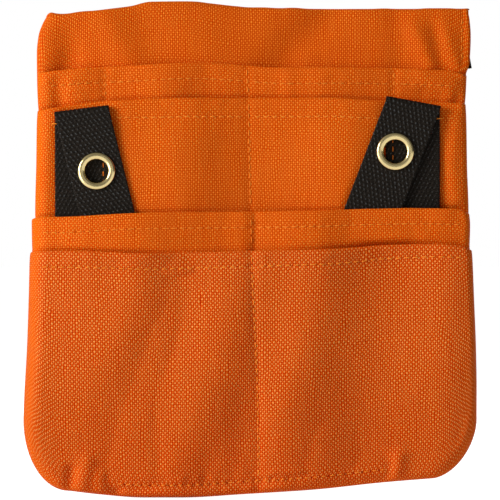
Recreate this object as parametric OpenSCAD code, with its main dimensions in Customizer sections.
// Multi-pocket cloth tool pouch with two webbing hanger tabs and eyelets.
// Millimetres. The back face lies in the plane y = 0 and everything else is in
// front of it at negative y. +X is right, +Z up, origin at the middle of the back face.
// In the code, heights count from the lowest point of the bottom edge and
// depths count forwards from the back face.

/* [Body] */
// Height from the lowest point of the bottom edge to the top fold
body_height = 228; // [200:1:260]
// Width across the top fold
top_width = 198.4; // [180:0.1:220]
// Width at the widest point, low on the body
low_width = 209; // [190:0.1:230]
// Height at which the sides start to taper towards the top
taper_from = 40; // [20:1:120]
// Width of each rounded bottom corner
corner_width = 16.5; // [8:0.5:30]
// Height of each rounded bottom corner
corner_height = 31; // [15:1:45]
// How far the bottom edge has risen at its right end
rise_right = 9.2; // [0:0.1:15]
// How far the bottom edge has risen at its left end
rise_left = 4.2; // [0:0.1:15]
// X of the lowest point of the bottom edge
low_x = -46; // [-80:1:80]

/* [Cloth] */
// Thickness of the coated woven cloth
cloth_t = 0.9; // [0.5:0.05:1.5]
// Depth of the turned hems at the pocket mouths
hem_height = 7.6; // [5:0.1:15]
// Width of the side and bottom seam that joins each pocket to the layer behind
seam_width = 2.2; // [1:0.1:5]
// Clear depth inside the top fold
fold_gap = 3; // [1:0.1:12]
// Height of the lower edge of the folded-over top
lap_z = 184; // [160:1:200]

/* [Pocket depths] */
// Depth of the back of the upper rear pocket's sheet
upper_rear_depth = 6.9; // [6:0.1:9]
// Depth of the back of the upper front pocket's sheet
upper_front_depth = 12; // [9:0.1:16]
// Depth of the back of the lower rear pocket's sheet
lower_rear_depth = 18.3; // [14:0.1:24]
// Depth of the back of the lower front pocket's sheet
lower_front_depth = 24.3; // [22:0.1:34]

/* [Straps] */
// Webbing width
web_width = 25; // [20:0.5:30]
// Webbing thickness
web_t = 1.5; // [1:0.1:2.5]
// X of the left strap's fixed run
left_x = -77.5; // [-90:0.1:-50]
// Height of the left strap's fold axis
left_z = 178; // [150:0.1:200]
// Tilt of the left fold line
left_tilt = 7.05; // [0:0.05:20]
// Length of the left hanging tab below its fold axis
left_length = 56; // [40:0.5:60]
// X of the right strap's fixed run
right_x = 75.1; // [50:0.1:90]
// Height of the right strap's fold axis
right_z = 181.5; // [150:0.1:200]
// Tilt of the right fold line
right_tilt = 10.5; // [0:0.05:20]
// Length of the right hanging tab below its fold axis
right_length = 58; // [40:0.5:62]
// Height at which both fixed runs end, behind the lower rear pocket
anchor_end = 119; // [60:1:125]

/* [Eyelets] */
// Clear radius of the eyelets
eye_r = 5.2; // [4:0.05:7]
// Outer radius of the domed front flange
flange_r = 8.8; // [7:0.1:11]
// Wall of the eyelet barrel
barrel_t = 0.4; // [0.2:0.05:0.8]
// Outer radius of the rear washer
washer_r = 8.3; // [7:0.1:10]
// Distance of the left eyelet from the left fold axis
left_eye = 27.8; // [20:0.1:35]
// Distance of the right eyelet from the right fold axis
right_eye = 23; // [18:0.1:35]

/* [Stitching] */
// Length of one stitch plus one gap
pitch = 3.93; // [2.5:0.01:6]
// Visible length of one stitch
stitch_length = 2.7; // [1.5:0.1:4]
// Thread width
thread_width = 0.6; // [0.3:0.05:1]
// Height of the thread above the cloth
thread_height = 0.25; // [0.1:0.05:0.5]

/* [Hidden] */
$fn = 96;
eps = 0.02;     // smallest gap or step between parts
overlap = 0.1;  // how far joined cloth parts run into each other
lift = -body_height / 2;

// body and top fold
side_x = low_width / 2 - corner_width;
edge_steps = 14;        // steps along a bottom edge or mouth
corner_step = 9;        // degrees between points on a corner
rise_power = 1.3;       // curve of the bottom edge
fold_r = cloth_t + fold_gap / 2;
fold_z = body_height - fold_r;
lap_back = cloth_t + fold_gap;
lap_front = lap_back + cloth_t;
lip_height = 1.2;       // strip that closes the lower edge of the lap

// hems
hem_inset = 0.4;        // hem ends inside the body's sides
hem_margin = 1.2;       // cloth below the hem stitching
hem_sink = 0.3;         // hem's reach into the pocket sheet

// webbing depths
web_back = upper_front_depth + cloth_t + 0.1;
web_front = web_back + web_t;
tab_back = web_front + 1.25;
tab_front = tab_back + web_t;
axis_depth = (web_back + tab_front) / 2;
roll_r = (tab_front - web_back) / 2;

// eyelets
fit = 0.05;             // clearance around the barrel and in front of the washer
hole_r = eye_r + barrel_t + fit;
dome_r = (flange_r - eye_r) / 2;
dome_back = tab_front + eps;
washer_t = 0.6;
bevel_height = 0.3;
bevel_width = 0.8;
washer_front = tab_back - fit;
bevel_front = washer_front - washer_t;
washer_back = bevel_front - bevel_height;
bore_reach = 3;         // how far the bores are cut past the tab's back

// stitching
stitch_gap = 2.4;       // half width left clear where rows cross
divider_low = [3.7, 12];    // [x, z] of two points on the divider line
divider_high = [-1.9, 198];
left_row = 10.4;        // left strap's upper row, from left_x
right_row = -8.6;       // right strap's upper row, from right_x
right_hem_gap = -9;     // gap in the upper rear hem row, from right_x

cloth_c = [0.87, 0.36, 0.08];
thread_c = [0.93, 0.45, 0.16];
web_c = [0.12, 0.11, 0.1];
gold_c = [0.78, 0.7, 0.47];

// pocket mouths as [x, z] points, each with the slight sag of a loose hem
upper_rear_mouth = [
    [-99, 197.5], [-74, 199], [-25, 201.5], [35, 199.3], [72, 198.5], [99, 196.5]];
upper_front_mouth = [[-99, 179.5], [-67, 183.5], [-25, 185], [50, 184.8], [99, 182.6]];
lower_rear_mouth = [[-102, 130], [-50, 131.8], [20, 132.7], [80, 134.1], [102, 132.3]];
lower_front_mouth = [[-103, 114.2], [-40, 113.6], [20, 114.7], [70, 117.2], [104, 115.6]];

// height of a top edge, given as a mouth table or as one level height
function edge_z(top, x) = is_num(top) ? top : lookup(x, top);

// half width of the body at height z
function half_width(z) = low_width / 2
    - (low_width - top_width) / 2 * max(0, z - taper_from) / (body_height - taper_from);

// height of the bottom edge
function bottom_z(x) = x > low_x
    ? rise_right * pow((x - low_x) / (side_x - low_x), rise_power)
    : rise_left * pow((low_x - x) / (low_x + side_x), rise_power);

// points on a top edge from x = -half to x = half, raised by over
function edge_points(top, half, over) = [
    for (i = [0 : edge_steps])
        let (x = -half + 2 * half * i / edge_steps) [x, edge_z(top, x) + over]];

function reversed(points) = [for (i = [len(points) - 1 : -1 : 0]) points[i]];

// bottom corner on one side (-1 left, 1 right), from the side to the bottom edge
function corner_points(side, inset) = let (
    end_z = bottom_z(side * side_x) + inset)
    [for (a = [0 : corner_step : 90]) [
        side * (side_x + (corner_width - inset) * cos(a)),
        corner_height - (corner_height - end_z) * sin(a)]];

// outline of a panel, inset from the body's edge, with its top edge raised by over
function outline(inset, top, over) = concat(
    corner_points(-1, inset),
    [for (i = [1 : edge_steps - 1])
        let (x = -side_x + 2 * side_x * i / edge_steps) [x, bottom_z(x) + inset]],
    reversed(corner_points(1, inset)),
    [[half_width(taper_from) - inset, taper_from]],
    reversed(edge_points(top, half_width(edge_z(top, 0) + over) - inset, over)),
    [[-half_width(taper_from) + inset, taper_from]]);

// turn children to point forwards from [x, z] and a depth
module face_front(at = [0, 0], depth = 0) {
    translate([at.x, -depth, at.y + lift]) rotate([90, 0, 0]) children();
}

// x-z shape made solid between two depths
module slab(back, front) {
    face_front(depth = back) linear_extrude(front - back) children();
}

module sheet(inset, top, back, front, over = 0) {
    slab(back, front) polygon(outline(inset, top, over));
}

// seam along the sides and the bottom
module seam_ring(top, back, front) {
    difference() {
        sheet(0, top, back, front);
        sheet(seam_width, top, back - 1, front + 1, 3);
    }
}

// turned hem behind a pocket mouth
module turned_hem(mouth, depth) {
    half = half_width(edge_z(mouth, 0)) - hem_inset;
    slab(depth - cloth_t, depth + hem_sink) polygon(concat(
        edge_points(mouth, half, 0),
        reversed(edge_points(mouth, half, -hem_height - hem_margin))));
}

// behind is the depth of the front of the layer the pocket is sewn to
module pocket(mouth, depth, behind) {
    sheet(0, mouth, depth, depth + cloth_t);
    turned_hem(mouth, depth);
    seam_ring(mouth, behind + eps, depth + overlap);
}

module back_panel() {
    half = half_width(fold_z);
    lap_half = half_width(lap_z);

    module fold_bar(radius, over = 0) {
        translate([-half - over, -fold_r, fold_z + lift]) rotate([0, 90, 0])
            cylinder(r = radius, h = 2 * (half + over));
    }

    color(cloth_c) union() {
        sheet(0, fold_z, 0, cloth_t);
        // folded-over front
        slab(lap_back, lap_front) polygon([
            [-lap_half, lap_z], [lap_half, lap_z], [half, fold_z], [-half, fold_z]]);
        // lower edge of the fold, turned in to the rear sheet
        slab(cloth_t - overlap, lap_back + overlap) polygon([
            [-lap_half, lap_z], [lap_half, lap_z],
            [lap_half - 0.1, lap_z + lip_height], [-lap_half + 0.1, lap_z + lip_height]]);
        // rounded top fold: upper half of a tube
        difference() {
            fold_bar(fold_r);
            fold_bar(fold_r - cloth_t, 1);
            translate([-half - 1, -2 * fold_r - 1, fold_z + lift - 3 * fold_r])
                cube([2 * half + 2, 2 * fold_r + 2, 3 * fold_r]);
        }
    }
}

module upper_rear_pocket() {
    color(cloth_c) union() {
        pocket(upper_rear_mouth, upper_rear_depth, lap_front);
        // below the folded-over top the seam reaches the rear sheet
        seam_ring(lap_z - 0.1, cloth_t + eps, upper_rear_depth + overlap);
    }
}

module upper_front_pocket() {
    color(cloth_c) pocket(upper_front_mouth, upper_front_depth, upper_rear_depth + cloth_t);
}

module lower_rear_pocket() {
    color(cloth_c) pocket(lower_rear_mouth, lower_rear_depth, upper_front_depth + cloth_t);
}

module lower_front_pocket() {
    color(cloth_c) pocket(lower_front_mouth, lower_front_depth, lower_rear_depth + cloth_t);
}

// point on a tab's centre line; the tab leans by twice the fold's tilt
function tab_point(axis, tilt, distance) = axis + distance * [sin(2 * tilt), -cos(2 * tilt)];

// [x, z] of the fold axes and eyelets; the right strap tilts the other way
left_axis = [left_x, left_z];
right_axis = [right_x, right_z];
left_eye_at = tab_point(left_axis, left_tilt, left_eye);
right_eye_at = tab_point(right_axis, -right_tilt, right_eye);

// fixed run of a strap: vertical webbing, its top cut parallel to the fold line
module anchor(axis, tilt) {
    half = web_width / 2;
    top = axis.y - (roll_r + 0.1) / cos(tilt);
    color(web_c) slab(web_back, web_front) polygon([
        [axis.x - half, anchor_end], [axis.x + half, anchor_end],
        [axis.x + half, top + half * tan(tilt)],
        [axis.x - half, top - half * tan(tilt)]]);
}

// hanging run of a strap with the rolled fold at its top and a hole for the eyelet
module tab(axis, tilt, length, eye_at) {
    half = web_width / 2;
    fold_half = half / cos(tilt);
    along_fold = fold_half * [cos(tilt), sin(tilt)];
    top = axis + 0.3 * [-sin(tilt), cos(tilt)];
    end = tab_point(axis, tilt, length);
    across = half * [cos(2 * tilt), sin(2 * tilt)];
    roll_trim = 0.05; // taken off each end of the roll
    color(web_c) difference() {
        union() {
            slab(tab_back, tab_front)
                polygon([top - along_fold, top + along_fold, end + across, end - across]);
            translate([axis.x, -axis_depth, axis.y + lift]) rotate([0, 90 - tilt, 0])
                translate([0, 0, roll_trim - fold_half])
                    cylinder(r = roll_r - 0.03, h = 2 * (fold_half - roll_trim));
        }
        face_front(eye_at) cylinder(r = hole_r, h = 60);
    }
}

// cylinder between two depths, for use inside face_front
module disc(radius, back, front) {
    translate([0, 0, back]) cylinder(r = radius, h = front - back);
}

// barrel and domed front flange
module eyelet(at) {
    color(gold_c) face_front(at) difference() {
        union() {
            disc(eye_r + barrel_t, washer_back, dome_back);
            // front half of a ring
            difference() {
                translate([0, 0, dome_back]) rotate_extrude()
                    translate([(flange_r + eye_r) / 2, 0]) circle(r = dome_r);
                disc(30, 0, dome_back);
            }
        }
        disc(eye_r, tab_back - bore_reach, dome_back);
    }
}

// washer behind the tab, bevelled at the back
module eyelet_washer(at) {
    color(gold_c) face_front(at) difference() {
        union() {
            disc(washer_r, bevel_front, washer_front);
            translate([0, 0, washer_back])
                cylinder(r1 = washer_r - bevel_width, r2 = washer_r, h = bevel_height);
        }
        disc(hole_r, tab_back - bore_reach, tab_back + bore_reach);
    }
}

module left_strap_anchor() { anchor(left_axis, left_tilt); }
module left_strap_tab() { tab(left_axis, left_tilt, left_length, left_eye_at); }
module left_eyelet() { eyelet(left_eye_at); }
module left_eyelet_washer() { eyelet_washer(left_eye_at); }
module right_strap_anchor() { anchor(right_axis, -right_tilt); }
module right_strap_tab() { tab(right_axis, -right_tilt, right_length, right_eye_at); }
module right_eyelet() { eyelet(right_eye_at); }
module right_eyelet_washer() { eyelet_washer(right_eye_at); }

// end of a length of webbing, held in the right end of the top fold
module side_webbing_end() {
    back = cloth_t + 0.7;
    color(web_c) slab(back, back + web_t) polygon([
        [80, 196.8], [102.3, 196.8], [100.2, 205], [99.2, 221.8], [80, 221.8]]);
}

// one stitch lying on the surface at a depth, at an angle from +X towards +Z
module stitch(x, z, depth, angle) {
    translate([x, -depth, z + lift]) rotate([0, -angle, 0])
        translate([-stitch_length / 2, -thread_height, -thread_width / 2])
            cube([stitch_length, thread_height, thread_width]);
}

// x of the line that divides the pockets left and right
function divider_x(z) = divider_low.x + (divider_high.x - divider_low.x)
    * (z - divider_low.y) / (divider_high.y - divider_low.y);

// true where x is outside every gap, given as [centre x, half width]
function is_clear(x, gaps) = min([for (gap = gaps) abs(x - gap[0]) - gap[1]]) >= 0;

// row of stitches along a mouth, broken at the divider and at the given gaps
module hem_row(mouth, depth, gaps = []) {
    count = floor(2 * (half_width(edge_z(mouth, 0)) - 4) / pitch);
    color(thread_c) for (i = [0 : count]) {
        x = -count * pitch / 2 + i * pitch;
        z = edge_z(mouth, x) - hem_height;
        if (is_clear(x, concat([[divider_x(z), stitch_gap]], gaps)))
            stitch(x, z, depth + cloth_t,
                atan((edge_z(mouth, x + 1) - edge_z(mouth, x - 1)) / 2));
    }
}

// row of upright stitches from one [x, z] point down to another
module drop_row(from, to, depth) {
    drop = from.y - to.y;
    for (i = [0 : floor(drop / pitch) - 1]) {
        at = from + (to - from) * (i + 0.5) * pitch / drop;
        stitch(at.x, at.y, depth, 90);
    }
}

module upper_rear_hem_thread() {
    hem_row(upper_rear_mouth, upper_rear_depth,
        [[left_x + left_row, stitch_gap], [right_x + right_hem_gap, stitch_gap]]);
}

module upper_front_hem_thread() {
    hem_row(upper_front_mouth, upper_front_depth,
        [for (x = [left_x, right_x]) [x, web_width / 2 + 2]]);
}

module lower_rear_hem_thread() { hem_row(lower_rear_mouth, lower_rear_depth); }
module lower_front_hem_thread() { hem_row(lower_front_mouth, lower_front_depth); }

module divider_thread() {
    // one run on each pocket: top z, end z, depth of the pocket's sheet
    runs = [
        [200, 186, upper_rear_depth],
        [184, 134, upper_front_depth],
        [131.5, 115.5, lower_rear_depth],
        [113.5, 11.5, lower_front_depth]];
    color(thread_c) for (run = runs)
        drop_row([divider_x(run[0]), run[0]], [divider_x(run[1]), run[1]], run[2] + cloth_t);
}

// a row on the upper rear pocket above the strap, and one down its fixed run;
// upper_x and web_x count from the strap's x
module strap_thread(axis, upper_x, upper_top, upper_end, web_x) {
    color(thread_c) {
        drop_row([axis.x + upper_x, upper_top], [axis.x + upper_x, upper_end],
            upper_rear_depth + cloth_t);
        drop_row([axis.x + web_x, axis.y - 3], [axis.x + web_x, anchor_end + 1], web_front);
    }
}

module left_strap_thread() {
    strap_thread(left_axis, left_row, upper_top = 198, upper_end = 184.8, web_x = 9.8);
}

module right_strap_thread() {
    strap_thread(right_axis, right_row, upper_top = 197.6, upper_end = 185, web_x = -9.1);
}

module bottom_thread() {
    start_x = -63.5;
    row_length = 128;
    above_edge = 6;
    color(thread_c) for (i = [0 : floor(row_length / pitch)]) {
        x = start_x + i * pitch;
        if (is_clear(x, [[divider_x(above_edge), stitch_gap]]))
            stitch(x, bottom_z(x) + above_edge, lower_front_depth + cloth_t,
                atan((bottom_z(x + 1) - bottom_z(x - 1)) / 2));
    }
}

module fold_end_thread() {
    color(thread_c) drop_row([97.2, 222], [97.2, 202], lap_front);
}

back_panel();
upper_rear_pocket();
upper_front_pocket();
lower_rear_pocket();
lower_front_pocket();
left_strap_anchor();
left_strap_tab();
left_eyelet();
left_eyelet_washer();
right_strap_anchor();
right_strap_tab();
right_eyelet();
right_eyelet_washer();
side_webbing_end();
upper_rear_hem_thread();
upper_front_hem_thread();
lower_rear_hem_thread();
lower_front_hem_thread();
divider_thread();
left_strap_thread();
right_strap_thread();
bottom_thread();
fold_end_thread();
